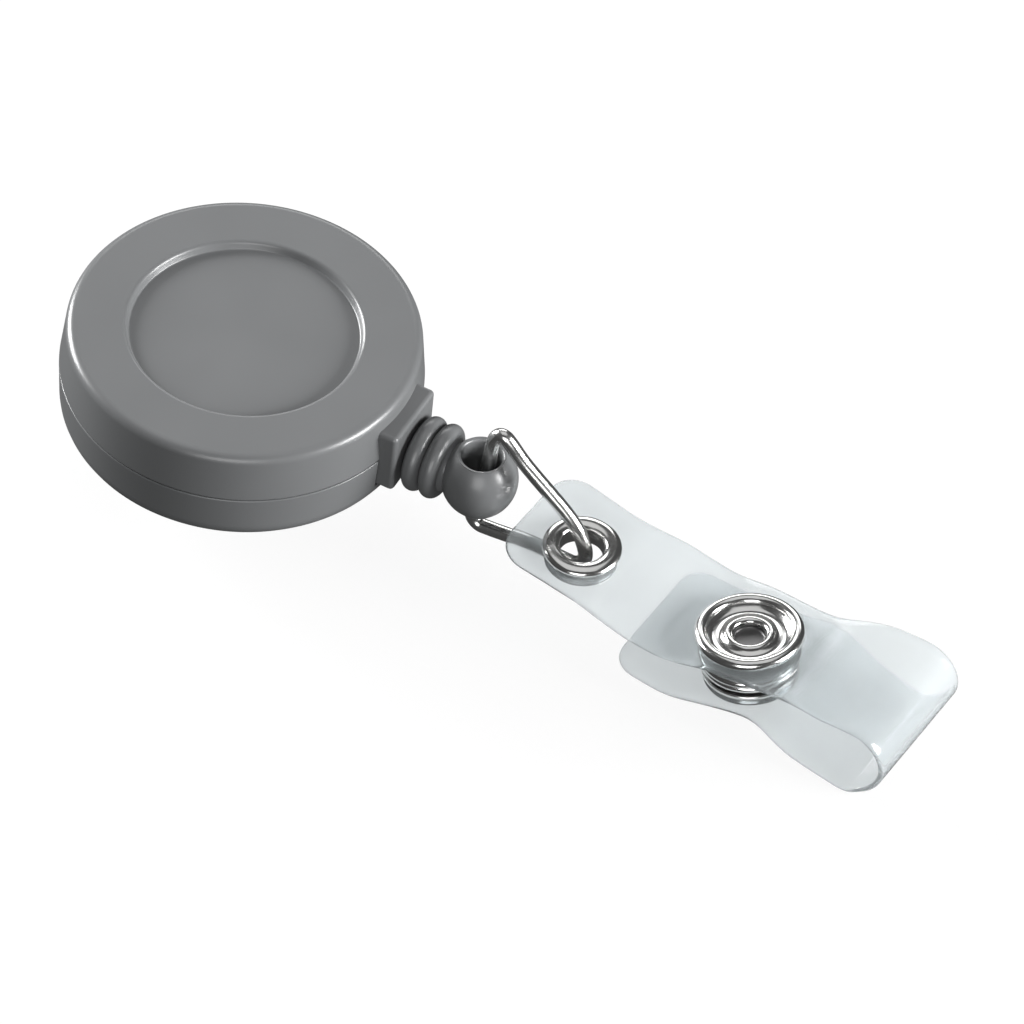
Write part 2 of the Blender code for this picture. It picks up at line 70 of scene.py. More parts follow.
BOTTOM_EDGE = 0.0024
RECESS_FLOOR_RADIUS = 0.01043
RECESS_LIP_RADIUS = 0.01062
SEAM_HEIGHT = 0.00576
SEAM_GAP = 0.00012
SEAM_EDGE = 0.00012
INNER_RADIUS = 0.0150
CEILING_HEIGHT = 0.0087
FLOOR_THICKNESS = 0.0016
LIP_INNER_RADIUS = 0.0142
LIP_OUTER_RADIUS = 0.0147
LIP_HEIGHT = 0.0069
POST_RADIUS = 0.0022
POST_BORE = 0.00145
POST_HEIGHT = 0.0083
NECK_FACE_X = 0.0176
NECK_INNER_X = 0.0146
NECK_HALF_WIDTH = 0.0037
NECK_LOW = 0.0024
NECK_HIGH = 0.0091
NECK_EDGE = 0.00045

# Cord and its end
CORD_RADIUS = 0.00035
CORD_HEIGHT = 0.00476
CORD_BORE = 0.00075
END_CORE_RADIUS = 0.0026
RIB_RADIUS = 0.00357
RIB_ROUND = 0.00082
RIB_START_X = 0.0179
RIB_PITCH = 0.00172
BALL_X = 0.02435
BALL_RADIUS = 0.0035
BALL_HALF_HEIGHT = 0.00385
BALL_HOLE = 0.00185
CORD_RINGS = 120
KNOT_X = 0.0203
KNOT_LENGTH = 0.0012
KNOT_RADIUS = 0.00062
KNOT_TURNS = 3
KNOT_STEPS = 30
WIRE_RADIUS = 0.000675

# Strap
VINYL = 0.0005
EYELET_X = 0.0351
EYELET_Y = -0.0003
EYELET_HEIGHT = 0.00115
EYELET_HOLE = 0.00275
CAP_HOLE = 0.0020
STUD_HOLE = 0.0014
SNAP_X = 0.05235
SNAP_Y = -0.0008
SNAP_HEIGHT = -0.00005
SNAP_LEAN = math.radians(8.0)
CAP_TILT = math.radians(3.5)
DIMPLE_RADIUS = 0.0015
DIMPLE_TOP = 0.0008
SNAP_STACK = 0.0031
FOLD_X = 0.0655
FOLD_HEIGHT = -0.0021
FOLD_RADIUS = 0.0036
STRAP_SKEW = 0.09

# Belt clip
CLIP_THICKNESS = 0.0008
CLIP_HALF_WIDTH = 0.0050
CLIP_FOLD_X = -0.0103
CLIP_FOLD_RADIUS = 0.0025
CLIP_TIP_X = 0.0092
CLIP_GAP = 0.0003
CLIP_CORNER = 0.0020

# Mesh steps along strap and clip
STRIP_STEP = 0.0004
CORNER_STEPS = 14

# Heights of the surface textures
GRAIN = 0.000005
RIPPLE = 0.000006

# Camera, from the case's rim, seam and neck in the photograph
CAMERA_AZIMUTH = math.radians(23.053)
CAMERA_ELEVATION = math.radians(47.774)
CAMERA_ROLL = math.radians(6.381)
CAMERA_DISTANCE = 0.70452
CAMERA_RIGHT = 0.024729
CAMERA_UP = -0.009372
LENS = 273.3


def level(height):
    """World z of a height above the case's back."""
    return BACK_Z + height


def along_cord(x=0.0):
    """Stands a turned piece on the cord, its height running along +X."""
    return Matrix.Translation((x, 0.0, level(CORD_HEIGHT))) @ Matrix.Rotation(math.pi / 2, 4, "Y")


# ---------------------------------------------------------------- mesh helpers

def new_object(name, shape):
    """Turns a bmesh into an object, its faces all facing out."""
    bmesh.ops.recalc_face_normals(shape, faces=shape.faces)
    mesh = bpy.data.meshes.new(name)
    shape.to_mesh(mesh)
    shape.free()
    obj = bpy.data.objects.new(name, mesh)
    bpy.context.scene.collection.objects.link(obj)
    return obj


def filleted(corners, steps=5):
    """A closed outline from (across, up, fillet radius) corners."""
    points = []
    for i, (across, up, radius) in enumerate(corners):
        here = Vector((across, up))
        if radius == 0.0:
            points.append((across, up))
            continue
        before = Vector(corners[i - 1][:2]) - here
        after = Vector(corners[(i + 1) % len(corners)][:2]) - here
        half = before.angle(after) / 2
        reach = min(radius / math.tan(half), 0.49 * before.length, 0.49 * after.length)
        middle = (before.normalized() + after.normalized()).normalized() * reach / math.cos(half)
        first = before.normalized() * reach - middle
        last = after.normalized() * reach - middle
        start = math.atan2(first.y, first.x)
        turn = (math.atan2(last.y, last.x) - start + math.pi) % (2 * math.pi) - math.pi
        for k in range(steps + 1):
            angle = start + turn * k / steps
            points.append((across + middle.x + first.length * math.cos(angle),
                           up + middle.y + first.length * math.sin(angle)))
    return points


def arc(centre, radius, start, end, count, radius_up=None):
    """Points of an arc in an outline's plane, angles in degrees, both ends included."""
    tall = radius if radius_up is None else radius_up
    points = []
    for i in range(count):
        angle = math.radians(start + (end - start) * i / (count - 1))
        points.append((centre[0] + radius * math.cos(angle), centre[1] + tall * math.sin(angle)))
    return points


def turned(name, outline, steps=160):
    """A turned solid about Z from a closed outline of (radius, height) points."""
    shape = bmesh.new()
    rings = []
    for radius, height in outline:
        if radius < 1e-7:
            rings.append([shape.verts.new((0.0, 0.0, height))])
            continue
        rings.append([shape.verts.new((radius * math.cos(2 * math.pi * k / steps),
                                       radius * math.sin(2 * math.pi * k / steps), height))
                      for k in range(steps)])
    for first, second in zip(rings, rings[1:] + rings[:1]):
        for k in range(steps):
            corners = [first[k % len(first)], first[(k + 1) % len(first)],
                       second[(k + 1) % len(second)], second[k % len(second)]]
            corners = list(dict.fromkeys(corners))
            if len(corners) > 2:
                shape.faces.new(corners)
    return new_object(name, shape)


def cutter(name, radius, first, last, steps=48):
    """A plain round tool about Z, for cutting a hole from one height to another."""
    return turned(name, [(0.0, first), (radius, first), (radius, last), (0.0, last)], steps)


def box(name, low, high, edge=0.0, segments=4):
    """A block with rounded edges."""
    shape = bmesh.new()
    size = Vector(high) - Vector(low)
    middle = (Vector(high) + Vector(low)) / 2
    bmesh.ops.create_cube(shape, size=1.0, matrix=Matrix.Translation(middle) @ Matrix.Diagonal((*size, 1.0)))
    if edge:
        bmesh.ops.bevel(shape, geom=shape.edges[:], offset=edge, segments=segments, profile=0.5,
                        affect="EDGES", clamp_overlap=True)
    return new_object(name, shape)


def place(obj, matrix):
    obj.data.transform(matrix)
    return obj


def combine(obj, tools, operation="DIFFERENCE"):
    """Cuts or joins the tools, one after another, and removes them."""
    for tool in tools:
        modifier = obj.modifiers.new(tool.name, "BOOLEAN")
        modifier.operation = operation
        modifier.solver = "EXACT"
        modifier.object = tool
    apply_modifiers(obj)
    for tool in tools:
        bpy.data.objects.remove(tool)
    return obj


def apply_modifiers(obj):
    graph = bpy.context.evaluated_depsgraph_get()
    mesh = bpy.data.meshes.new_from_object(obj.evaluated_get(graph))
    obj.modifiers.clear()
    obj.data = mesh


def smooth(obj, angle=32.0):
    """Smooth shading that keeps edges sharper than the angle, with flat faces left flat."""
    obj.data.polygons.foreach_set("use_smooth", [True] * len(obj.data.polygons))
    obj.data.set_sharp_from_angle(angle=math.radians(angle))
    weighted = obj.modifiers.new("normals", "WEIGHTED_NORMAL")
    weighted.keep_sharp = True
    weighted.weight = 60
    apply_modifiers(obj)
    return obj


def smooth_path(points, per_span):
    """Catmull-Rom points through a list of places, both ends included."""
    places = [Vector(p) for p in points]
    places = [2 * places[0] - places[1], *places, 2 * places[-1] - places[-2]]
    out = []
    for a, b, c, d in zip(places, places[1:], places[2:], places[3:]):
        for i in range(per_span):
            t = i / per_span
            out.append(0.5 * (2 * b + (c - a) * t + (2 * a - 5 * b + 4 * c - d) * t**2
                              + (3 * b - 3 * c + d - a) * t**3))
    out.append(places[-2])
    return out


def tangents(path):
    ways = []
    for i in range(len(path)):
        ways.append((path[min(i + 1, len(path) - 1)] - path[max(i - 1, 0)]).normalized())
    return ways


def sweep(name, sections):
    """A closed solid through equal rings of points, with flat caps."""
    shape = bmesh.new()
    rings = [[shape.verts.new(p) for p in section] for section in sections]
    count = len(rings[0])
    for first, second in zip(rings, rings[1:]):
        for k in range(count):
            shape.faces.new((first[k], first[(k + 1) % count], second[(k + 1) % count], second[k]))
    shape.faces.new(rings[0])
    shape.faces.new(rings[-1])
    return new_object(name, shape)


def wire(name, path, radius, sides=32):
    """A round wire along a path in the plane y = 0, with domed ends."""
    across = Vector((0.0, 1.0, 0.0))
    ways = tangents(path)
    dome = [(radius * math.sin(a) * 0.5, radius * math.cos(a)) for a in (0.3, 0.6, 1.0, 1.4)]
    places = [(path[0] - ways[0] * out, ways[0], r) for out, r in reversed(dome)]
    places += [(p, w, radius) for p, w in zip(path, ways)]
    places += [(path[-1] + ways[-1] * out, ways[-1], r) for out, r in dome]
    sections = []
    for middle, way, r in places:
        up = way.cross(across)
        sections.append([middle + r * (math.cos(a) * across + math.sin(a) * up)
                         for a in (2 * math.pi * k / sides for k in range(sides))])
    return sweep(name, sections)


def strip(name, path, half_widths, thickness, columns=16, round_steps=4, skew=0.0, crown=None):
    """A flat strip along a path that bends about Y, its long edges rounded. Skew slides it along X by a
    share of Y; crown(i, share) lifts both faces, share running from -1 to 1 across the strip."""
    half = thickness / 2
    radius = 0.8 * half
    sections = []
    for i, (middle, way) in enumerate(zip(path, tangents(path))):
        up = Vector((-way.z, 0.0, way.x)).normalized()
        width = half_widths[i]
        outline = filleted([(width, half, radius), (-width, half, radius), (-width, -half, radius),
                            (width, -half, radius)], round_steps)
        top, bottom = outline[:2 * (round_steps + 1)], outline[2 * (round_steps + 1):]
        outline = spread(top, round_steps, columns) + spread(bottom, round_steps, columns)
        section = []
        for across, lift in outline:
            rise = crown(i, across / width) if crown else 0.0
            section.append(middle + Vector((skew * across, across, 0.0)) + up * (lift + rise))
        sections.append(section)
    return sweep(name, sections)


def spread(run, round_steps, columns):
    """Adds evenly spaced points on the straight stretch between two rounded corners."""
    first, last = run[:round_steps + 1], run[round_steps + 1:]
    a, b = Vector(first[-1]), Vector(last[0])
    between = [tuple(a.lerp(b, k / columns)) for k in range(1, columns)]
    return first + between + last


def ride(obj, body, slot, *nodes):
    """Hangs a finished piece on the body that carries it and hides the CAD nodes it stands for. The slot
    argument, its finish, is not used.
    """
    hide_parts(*nodes)
    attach(obj, body)
    return obj


# ---------------------------------------------------------------- materials

class Nodes:
    """Builds a material's node tree."""

    def __init__(self, name):
        self.material = bpy.data.materials.new(name)
        self.material.use_nodes = True
        self.tree = self.material.node_tree
        self.shader = self.tree.nodes["Principled BSDF"]
        self.where = self.add("ShaderNodeTexCoord").outputs["Object"]

    def add(self, kind, **values):
        node = self.tree.nodes.new(kind)
        for key, value in values.items():
            if key in node.inputs:
                node.inputs[key].default_value = value
            else:
                setattr(node, key, value)
        return node

    def link(self, output, target):
        self.tree.links.new(output, target)

    def set(self, **values):
        """Uniform values on the shader's own sockets."""
        for key, value in values.items():
            self.shader.inputs[key.replace("_", " ")].default_value = value

    def noise(self, scale, detail=2.0, roughness=0.5, stretch=None):
        node = self.add("ShaderNodeTexNoise", Scale=scale, Detail=detail, Roughness=roughness)
        if stretch:
            mapping = self.add("ShaderNodeMapping", Scale=stretch)
            self.link(self.where, mapping.inputs["Vector"])
            self.link(mapping.outputs["Vector"], node.inputs["Vector"])
        else:
            self.link(self.where, node.inputs["Vector"])
        return node.outputs["Fac"]

    def ramp(self, source, low, high, a=0.3, b=0.7):
        """Maps a value's span a to b onto low to high: numbers or colours."""
        node = self.add("ShaderNodeMapRange" if isinstance(low, float) else "ShaderNodeValToRGB")
        if isinstance(low, float):
            for key, value in zip(("From Min", "From Max", "To Min", "To Max"), (a, b, low, high)):
                node.inputs[key].default_value = value
            self.link(source, node.inputs["Value"])
            return node.outputs["Result"]
        node.color_ramp.elements[0].position = a
        node.color_ramp.elements[1].position = b
        node.color_ramp.elements[0].color = (*low, 1.0)
        node.color_ramp.elements[1].color = (*high, 1.0)
        self.link(source, node.inputs["Fac"])
        return node.outputs["Color"]

    def bumps(self, *layers):
        """Stacks bumps: (height output, distance in metres, strength)."""
        normal = None
        for height, distance, strength in layers:
            node = self.add("ShaderNodeBump", Distance=distance, Strength=strength)
            self.link(height, node.inputs["Height"])
            if normal:
                self.link(normal, node.inputs["Normal"])
            normal = node.outputs["Normal"]
        self.link(normal, self.shader.inputs["Normal"])


def moulded_plastic(name, colour, roughness):
    """Satin moulded plastic: fine spark grain, faint flow clouding and slightly uneven gloss."""
    nodes = Nodes(name)
    cloud = nodes.noise(110.0, 2.0)
    light = tuple(c * 1.02 for c in colour)
    dark = tuple(c * 0.98 for c in colour)
    nodes.link(nodes.ramp(cloud, dark, light), nodes.shader.inputs["Base Color"])
    gloss = nodes.noise(140.0, 1.0)
    nodes.link(nodes.ramp(gloss, roughness - 0.015, roughness + 0.02), nodes.shader.inputs["Roughness"])
    nodes.bumps((nodes.noise(3200.0, 1.0), GRAIN, 0.5), (nodes.noise(300.0, 1.0), 4 * GRAIN, 0.25))
    nodes.set(IOR=1.5)
    return nodes.material


def plated_metal(name, colour, roughness):
    """Bright nickel plate over stamped steel: hairline scratches and slight ripples."""
    nodes = Nodes(name)
    tone = nodes.noise(300.0, 2.0)
    nodes.link(nodes.ramp(tone, tuple(c * 0.96 for c in colour), colour), nodes.shader.inputs["Base Color"])
    hair = nodes.noise(900.0, 3.0, 0.6, stretch=(1.0, 9.0, 1.0))
    nodes.link(nodes.ramp(hair, roughness, roughness + 0.06), nodes.shader.inputs["Roughness"])
    nodes.bumps((nodes.noise(520.0, 1.0), RIPPLE, 0.8), (hair, RIPPLE * 0.2, 0.5))
    nodes.set(Metallic=1.0)
    return nodes.material


def clear_vinyl(name):
    """Soft clear PVC sheet: slightly blue, a little hazy, with shallow press marks."""
    nodes = Nodes(name)
    cloud = nodes.noise(120.0, 3.0)
    dark, light = (0.77, 0.808, 0.822), (0.80, 0.836, 0.848)
    nodes.link(nodes.ramp(cloud, dark, light), nodes.shader.inputs["Base Color"])
    haze = nodes.noise(260.0, 3.0, 0.6)
    nodes.link(nodes.ramp(haze, 0.16, 0.26), nodes.shader.inputs["Roughness"])
    nodes.bumps((nodes.noise(70.0, 2.0), 0.00022, 0.35), (nodes.noise(1600.0, 2.0), 0.000008, 0.4))
    nodes.set(IOR=1.16, Transmission_Weight=0.82, Coat_Weight=0.8, Coat_Roughness=0.12, Coat_IOR=1.5)
    return nodes.material


def braided_cord(name, colour):
    """Fine braided nylon: two crossing sets of strands wound round the cord."""
    nodes = Nodes(name)
    waves = []
    for slant in (1.0, -1.0):
        mapping = nodes.add("ShaderNodeMapping", Scale=(1.0, slant, slant))
        nodes.link(nodes.where, mapping.inputs["Vector"])
        wave = nodes.add("ShaderNodeTexWave", Scale=900.0, Distortion=0.4, Detail=1.0)
        wave.bands_direction = "DIAGONAL"
        nodes.link(mapping.outputs["Vector"], wave.inputs["Vector"])
        waves.append(wave.outputs["Fac"])
    weave = nodes.add("ShaderNodeMath", operation="MAXIMUM")
    nodes.link(waves[0], weave.inputs[0])
    nodes.link(waves[1], weave.inputs[1])
    strands = weave.outputs["Value"]
    dark, light = tuple(c * 0.5 for c in colour), tuple(c * 1.6 for c in colour)
    nodes.link(nodes.ramp(strands, dark, light, 0.4, 0.95), nodes.shader.inputs["Base Color"])
    nodes.link(nodes.ramp(nodes.noise(3000.0, 2.0), 0.6, 0.8), nodes.shader.inputs["Roughness"])
    nodes.bumps((strands, 0.00006, 0.9))
    return nodes.material


GREY = moulded_plastic("grey_plastic_satin", (0.143, 0.147, 0.150), 0.30)
WHITE = moulded_plastic("white_plastic_moulded", (0.72, 0.72, 0.70), 0.42)
STEEL = plated_metal("nickel_plate", (0.80, 0.80, 0.79), 0.15)
WIRE_STEEL = plated_metal("wire_nickel", (0.80, 0.80, 0.79), 0.20)
# Dark metal for the snap cap's dimple floor: its dark grey is painted shade for the inside of the hollow.
DIMPLE_SHADE_STEEL = plated_metal("dimple_painted_shade", (0.16, 0.16, 0.16), 0.42)
SPRING = plated_metal("spring_strip", (0.52, 0.53, 0.55), 0.22)
CLIP_STEEL = plated_metal("clip_nickel", (0.74, 0.74, 0.73), 0.16)
VINYL_CLEAR = clear_vinyl("clear_vinyl_sheet")
CORD = braided_cord("black_nylon_braid", (0.030, 0.030, 0.031))


def coat(obj, material):
    obj.data.materials.clear()
    obj.data.materials.append(material)
    return obj


# ---------------------------------------------------------------- case

def make_front_case():
    seam = level(SEAM_HEIGHT + SEAM_GAP / 2)
    top = level(CASE_HEIGHT)
    ceiling = level(CEILING_HEIGHT)
    outline = filleted([
        (0.0, 0.0, 0.0), (RECESS_FLOOR_RADIUS, 0.0, 0.00016), (RECESS_LIP_RADIUS + 0.00006, top, 0.00042),
        (TOP_RADIUS, top, TOP_EDGE), (SEAM_RADIUS, seam, SEAM_EDGE), (INNER_RADIUS, seam, 0.0),
        (INNER_RADIUS, ceiling, 0.0004), (0.0, ceiling, 0.0)], 8)
    case = turned("front_shell", outline, 240)
    block = box("neck_block", (NECK_INNER_X, -NECK_HALF_WIDTH, level(NECK_LOW)),
                (NECK_FACE_X, NECK_HALF_WIDTH, level(NECK_HIGH)), NECK_EDGE, 5)
    combine(case, [block], "UNION")
    outline = [(0.0, -0.002), (CORD_BORE, -0.002), (CORD_BORE, 0.0005)]
    outline += [(CORD_BORE + 0.0003, 0.0010), (0.0, 0.0010)]
    hole = place(turned("cord_hole", outline, 32), along_cord(NECK_FACE_X - 0.00075))
    combine(case, [hole])
    return ride(coat(smooth(case), GREY), "case", "grey_plastic", "front_case")


def make_rear_case():
    seam = level(SEAM_HEIGHT - SEAM_GAP / 2)
    floor = level(FLOOR_THICKNESS)
    lip = level(LIP_HEIGHT)
    post = level(POST_HEIGHT)
    outline = filleted([
        (SEAM_RADIUS, seam, SEAM_EDGE), (BOTTOM_RADIUS, level(0.0), BOTTOM_EDGE),
        (POST_BORE, level(0.0), 0.0), (POST_BORE, post, 0.0), (POST_RADIUS, post, 0.0002),
        (POST_RADIUS, floor, 0.0), (LIP_INNER_RADIUS, floor, 0.0003), (LIP_INNER_RADIUS, lip, 0.0),
        (LIP_OUTER_RADIUS, lip, 0.0), (LIP_OUTER_RADIUS, seam, 0.0)], 8)
    case = turned("rear_shell", outline, 240)
    clear = SEAM_GAP
    notch = box("neck_notch", (0.013, -NECK_HALF_WIDTH - clear, level(NECK_LOW) - clear),
                (0.019, NECK_HALF_WIDTH + clear, lip + 0.0003), 0.0)
    slot = box("post_slot", (0.0010, -0.00045, level(0.0030)), (0.0026, 0.00045, post + 0.0003))
    combine(case, [notch, slot])
    return ride(coat(smooth(case), GREY), "case", "grey_plastic", "rear_case")


# ---------------------------------------------------------------- cord end, link and cord

def make_cord_end():
    """Two round ribs and a ball with its upright hole, bored for the cord and its knot."""
    ribs_end = RIB_START_X + 2 * RIB_PITCH
    half = RIB_PITCH / 2
    outline = [(0.0, RIB_START_X), (END_CORE_RADIUS, RIB_START_X)]
    for centre in (RIB_START_X + half, ribs_end - half):
        outline += arc((RIB_RADIUS - RIB_ROUND, centre), RIB_ROUND, -80, 80, 17, half * 0.97)
        outline.append((END_CORE_RADIUS, centre + half))
    outline += [(0.00235, ribs_end + 0.0003), (0.0022, ribs_end + 0.0012), (0.0, ribs_end + 0.0012)]
    end = place(turned("ribbed_ball_end", outline, 96), along_cord())
    lip = 0.00035
    top_angle = math.degrees(math.acos((BALL_HOLE + lip) / BALL_RADIUS))
    outside = arc((0.0, 0.0), BALL_RADIUS, top_angle, -top_angle, 41, BALL_HALF_HEIGHT)
    shoulder = outside[0][1]
    bore = arc((BALL_HOLE + lip, -shoulder + lip * 0.75), lip, 270, 180, 7)
    bore += arc((BALL_HOLE + lip, shoulder - lip * 0.75), lip, 180, 90, 7)
    ball_at = Matrix.Translation((BALL_X, 0.0, level(CORD_HEIGHT)))
    combine(end, [place(turned("end_ball", outside + bore, 128), ball_at)], "UNION")
    hole = place(cutter("ball_hole", BALL_HOLE, 0.0034, -0.0034, 128), ball_at)
    bore = place(cutter("cord_bore", CORD_BORE, 0.017, KNOT_X, 32), along_cord())
    chamber = place(cutter("knot_chamber", 0.00155, KNOT_X - 0.0014, KNOT_X + 0.0017, 48), along_cord())
    combine(end, [hole, bore, chamber])
    return ride(coat(smooth(end, 40.0), GREY), "cord_end", "grey_plastic", "cord_end")


def link_path():
    """Centre line of the bent wire, from inside the ball's hole and back to it."""
    upper = [(0.02492, 0.0052), (0.02518, 0.0088), (0.02540, 0.0104), (0.02582, 0.0112), (0.02640, 0.0113)]
    upper += [(0.02705, 0.01075), (0.02875, 0.0089), (0.03260, 0.0056)]
    corner = [(0.03410, 0.0040), (0.03490, 0.0026), (0.03535, 0.0012), (0.03525, 0.0001), (0.03450, -0.0007)]
    lower = [(0.03350, -0.0008), (0.03000, -0.0007), (0.02600, -0.0011), (0.02475, -0.0011)]
    lower += [(0.02405, -0.0004), (0.02412, 0.0006), (0.02480, 0.0046)]
    return smooth_path([(x, 0.0, level(height)) for x, height in upper + corner + lower], 10)


def make_link():
    link = wire("link_wire", link_path(), WIRE_RADIUS)
    return ride(coat(smooth(link, 50.0), WIRE_STEEL), "link", "plated_steel", "wire_link")


def make_cord():
    """The cord from inside the neck to its knot, which pays out as the end is pulled."""
    start, end = NECK_INNER_X + 0.0005, KNOT_X - 0.0012 - 0.0002
    outline = [(0.0, start)]
    outline += [(CORD_RADIUS, start + (end - start) * k / CORD_RINGS) for k in range(CORD_RINGS + 1)]
    outline.append((0.0, end))
    cord = place(turned("cord_paid_out", outline, 20), along_cord())
    coat(smooth(cord, 50.0), CORD)
    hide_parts("cord_lead")
    height = level(CORD_HEIGHT)
    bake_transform(cord)
    line = []
    steps = KNOT_TURNS * KNOT_STEPS
    for k in range(steps + 1):
        angle = 2 * math.pi * k / KNOT_STEPS
        line.append(Vector((KNOT_X + KNOT_LENGTH * (k / steps - 0.5), KNOT_RADIUS * math.cos(angle),
                            height + KNOT_RADIUS * math.sin(angle))))
    knot = coil_wire("cord_stop_knot", line, 0.00042)
    return ride(coat(smooth(knot, 50.0), CORD), "cord", "nylon_cord", "cord_knot")


def coil_wire(name, path, radius, sides=12):
    """A round wire along any path, its rings turned with the least twist."""
    ways = tangents(path)
    side = ways[0].orthogonal().normalized()
    sections = []
    for middle, way in zip(path, ways):
        side = (side - way * side.dot(way)).normalized()
        other = way.cross(side)
        sections.append([middle + radius * (math.cos(a) * side + math.sin(a) * other)
                         for a in (2 * math.pi * k / sides for k in range(sides))])
    return sweep(name, sections)


# ---------------------------------------------------------------- strap

def on_snap(along, up):
    """Place in the snap's leaning frame: along the strap, and up from the upper layer's middle."""
    x = SNAP_X + along * math.cos(SNAP_LEAN) - up * math.sin(SNAP_LEAN)
    z = level(SNAP_HEIGHT) + along * math.sin(SNAP_LEAN) + up * math.cos(SNAP_LEAN)
    return Vector((x, 0.0, z))


def fold_place(degrees):
    """Place on the middle line of the strap's round fold."""
    angle = math.radians(degrees)
    return Vector((FOLD_X + FOLD_RADIUS * math.cos(angle), 0.0,
                   level(FOLD_HEIGHT) + FOLD_RADIUS * math.sin(angle)))


def strap_points():
    """Middle line of the strap, from the eyelet's end, round the fold, to the free tab's end."""
    near = [(0.0289, 0.00150), (0.0318, 0.00120), (EYELET_X, EYELET_HEIGHT), (0.0384, 0.00108)]
    near += [(0.0415, 0.0005), (0.0443, -0.0003)]
    places = [Vector((x, 0.0, level(height))) for x, height in near]
    places += [on_snap(along, 0.0) for along in (-0.0052, -0.0017, 0.0017, 0.0052)]
    places.append(Vector((0.0612, 0.0, level(0.0014))))
    places += [fold_place(angle) for angle in (90, 60, 30, 0, -30, -60, -90)]
    places.append(Vector((0.0610, 0.0, level(-0.0042))))
    places += [on_snap(along, -SNAP_STACK) for along in (0.0050, 0.0017, -0.0017, -0.0050)]
    places += [Vector((0.0448, 0.0, level(-0.0037))), Vector((0.0423, 0.0, level(-0.0034)))]
    return places


UPPER_WIDTHS = ((0.0289, 0.0060), (0.0370, 0.0058), (0.0430, 0.0063), (0.0570, 0.0056), (0.0635, 0.0066),
                (0.0700, 0.0066))
LOWER_WIDTHS = ((0.0423, 0.0070), (0.0480, 0.0072), (0.0545, 0.00675), (0.0590, 0.0071), (0.0650, 0.0068),
                (0.0700, 0.0066))
UPPER_SWAY = ((0.0289, 0.0016), (0.0400, 0.0001), (0.0500, 0.0004), (0.0580, -0.0003), (0.0700, -0.0003))
LOWER_SWAY = ((0.0423, 0.0004), (0.0500, 0.0002), (0.0548, 0.0002), (0.0590, -0.0004), (0.0700, -0.0003))
UPPER_CORNER = 0.0028
LOWER_CORNER = 0.0022


def between(table, x):
    """The value at x of a table of (x, value) pairs, read with smooth steps."""
    for (x0, w0), (x1, w1) in zip(table, table[1:]):
        if x <= x1:
            break
    share = max(0.0, min(1.0, (x - x0) / (x1 - x0)))
    return w0 + (w1 - w0) * share * share * (3 - 2 * share)


def rounded_end(distance, radius):
    """How much a rounded corner takes off the half width at a distance from the end."""
    if distance >= radius:
        return 0.0
    return radius - math.sqrt(max(0.0, radius**2 - (radius - distance) ** 2))


def stations(path, corners):
    """Places along a path: even steps, and close together in the rounded corners at each end."""
    total = [0.0]
    for a, b in zip(path, path[1:]):
        total.append(total[-1] + (b - a).length)
    first, last = corners
    straight = total[-1] - first - last
    eased = [1 - math.cos(math.pi / 2 * k / CORNER_STEPS) for k in range(CORNER_STEPS)]
    wanted = [first * share for share in eased]
    count = round(straight / STRIP_STEP)
    wanted += [first + straight * k / count for k in range(count + 1)]
    wanted += [total[-1] - last * share for share in reversed(eased)]
    out, i = [], 0
    for distance in wanted:
        while i < len(total) - 2 and total[i + 1] < distance:
            i += 1
        share = (distance - total[i]) / (total[i + 1] - total[i])
        out.append((path[i].lerp(path[i + 1], share), distance))
    return out, total[-1]


def make_strap():
    path = smooth_path(strap_points(), 16)
    found, length = stations(path, (UPPER_CORNER, LOWER_CORNER))
    middle_line = [spot for spot, _ in found]
    fold_at = next(i for i, p in enumerate(middle_line) if p.x == max(q.x for q in middle_line))
    widths = []
    for i, (spot, distance) in enumerate(found):
        table = UPPER_WIDTHS if i <= fold_at else LOWER_WIDTHS
        spot.y = between(UPPER_SWAY if i <= fold_at else LOWER_SWAY, spot.x)
        taken = rounded_end(distance, UPPER_CORNER) + rounded_end(length - distance, LOWER_CORNER)
        widths.append(between(table, spot.x) - taken)
    strap = strip("vinyl_strap", middle_line, widths, VINYL, skew=STRAP_SKEW)
    reach = 2 * VINYL
    eyelet_hole = place(cutter("eyelet_hole", EYELET_HOLE, reach, -reach, 64), eyelet_axis())
    cap_hole = place(cutter("cap_hole", CAP_HOLE, reach, -reach), on_snap_axis())
    stud_hole = place(cutter("stud_hole", STUD_HOLE, reach - SNAP_STACK, -reach - SNAP_STACK), on_snap_axis())
    combine(strap, [eyelet_hole, cap_hole, stud_hole])
    coat(smooth(strap, 40.0), VINYL_CLEAR)
    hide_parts("strap_upper", "strap_lower")
    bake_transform(strap)
    return strap


# ---------------------------------------------------------------- eyelet and snap

def on_snap_axis():
    return Matrix.Translation((SNAP_X, SNAP_Y, level(SNAP_HEIGHT))) @ Matrix.Rotation(-SNAP_LEAN, 4, "Y")


def eyelet_axis():
    return Matrix.Translation((EYELET_X, EYELET_Y, level(EYELET_HEIGHT)))


def make_eyelet():
    """The barrel with its rolled bead, and the ring under the strap."""
    outline = arc((0.00280, 0.0010), 0.00081, 180, -60, 29, 0.00047)
    outline += [(0.0027, 0.00062), (0.0026, 0.00050), (0.0026, -0.00065), (0.0026, -0.00085)]
    outline += [(0.0023, -0.00085), (0.0020, -0.0004)]
    barrel = place(turned("eyelet", outline, 128), eyelet_axis())
    ride(coat(smooth(barrel), STEEL), "strap", "plated_steel", "eyelet_barrel")
    outline = filleted([(0.00285, -0.00038, 0.0001), (0.0033, -0.00045, 0.0001), (0.0033, -0.00075, 0.0001),
                        (0.00285, -0.00085, 0.0001)], 4)
    washer = place(turned("eyelet_back_ring", outline, 128), eyelet_axis())
    ride(coat(smooth(washer), STEEL), "strap", "plated_steel", "eyelet_washer")


